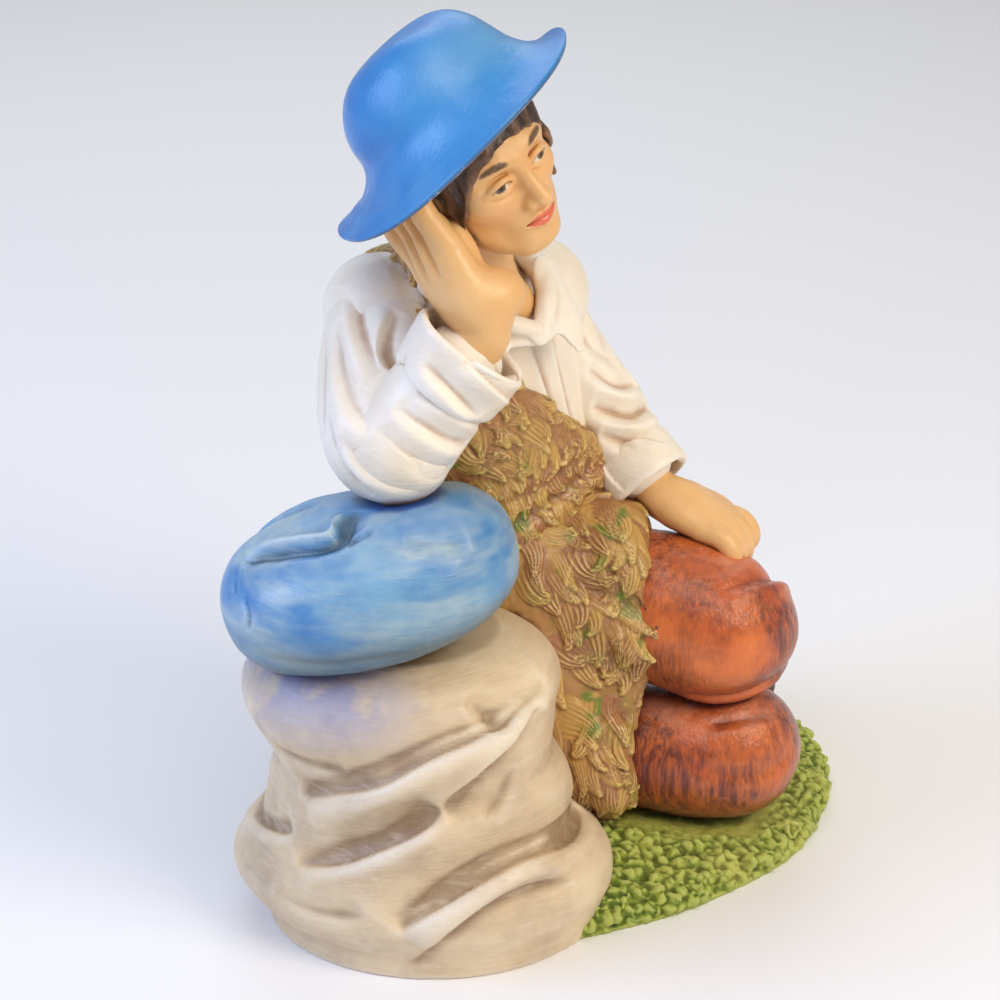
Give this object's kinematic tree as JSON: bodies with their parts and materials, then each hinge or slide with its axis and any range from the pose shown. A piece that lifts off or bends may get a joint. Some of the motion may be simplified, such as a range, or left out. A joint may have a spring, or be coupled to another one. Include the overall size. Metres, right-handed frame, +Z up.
{
  "type": "garden gnome figurine",
  "caption": "Painted cast-resin garden figure: a seated shepherd in a soft hat leans on a cushion laid over a full sack, on a turf base.",
  "frame": {"origin": "on the ground under the middle of the figure's box", "axes": "+Z up, -Y the way the figure's chest faces, +X to the figure's left, along the base's long side"},
  "size_m": [0.2414, 0.154, 0.2975],
  "materials": {
    "grass": "painted cast resin, crumbly turf texture, matt yellow-green",
    "sack": "painted cast resin, beige-grey wash, satin",
    "cushion": "painted cast resin, blue with a pale dry brush, satin",
    "trousers": "painted cast resin, orange-brown with a dark wash, satin",
    "boots": "painted cast resin, dark brown, satin",
    "fleece": "painted cast resin, ochre with green accents, satin",
    "shirt": "painted cast resin, off-white with a brown wash, satin",
    "skin": "painted cast resin, flesh tone, satin",
    "hair": "painted cast resin, dark brown, satin",
    "hat": "painted cast resin, bright blue, semi-gloss"
  },
  "bodies": {
    "root": {"left_leg": "trousers", "right_leg": "trousers", "left_boot": "boots", "right_boot": "boots", "head": "skin", "hair": "hair", "hat": "hat", "right_hand": "skin", "left_hand": "skin", "neck": "skin", "right_cuff": "shirt", "right_forearm_sleeve": "shirt", "right_upper_sleeve": "shirt", "left_cuff": "shirt", "left_sleeve": "shirt", "cushion": "cushion", "shirt_collar": "shirt", "shirt_body": "shirt", "fleece_bodice": "fleece", "sack": "sack", "grass_base": "grass", "fleece_skirt": "fleece"}
  },
  "joints": []
}
